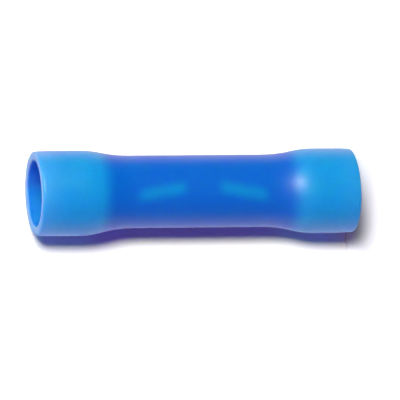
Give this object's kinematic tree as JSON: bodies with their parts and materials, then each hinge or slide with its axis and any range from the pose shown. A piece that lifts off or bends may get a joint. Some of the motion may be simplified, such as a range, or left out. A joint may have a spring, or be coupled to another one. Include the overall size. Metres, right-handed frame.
{
  "type": "butt splice connector",
  "caption": "Insulated in-line crimp connector: a metal crimp barrel with a wire stop inside a blue vinyl sleeve that is belled at both ends for wire entry.",
  "frame": {"origin": "centre of the face of the mouth that the connector stands on", "axes": "+Z along the axis of the tube to the other mouth, which is the left one in the picture; -Y is the front, where the dent of the wire stop is; +X completes the frame"},
  "size_m": [0.0066, 0.0066, 0.0254],
  "materials": {
    "blue_vinyl": "satin translucent vinyl, darker where the metal barrel lies behind it",
    "tinned_copper": "satin tin plate over drawn copper"
  },
  "bodies": {
    "root": {"insulating_sleeve": "blue_vinyl", "crimp_barrel": "tinned_copper"}
  },
  "joints": []
}
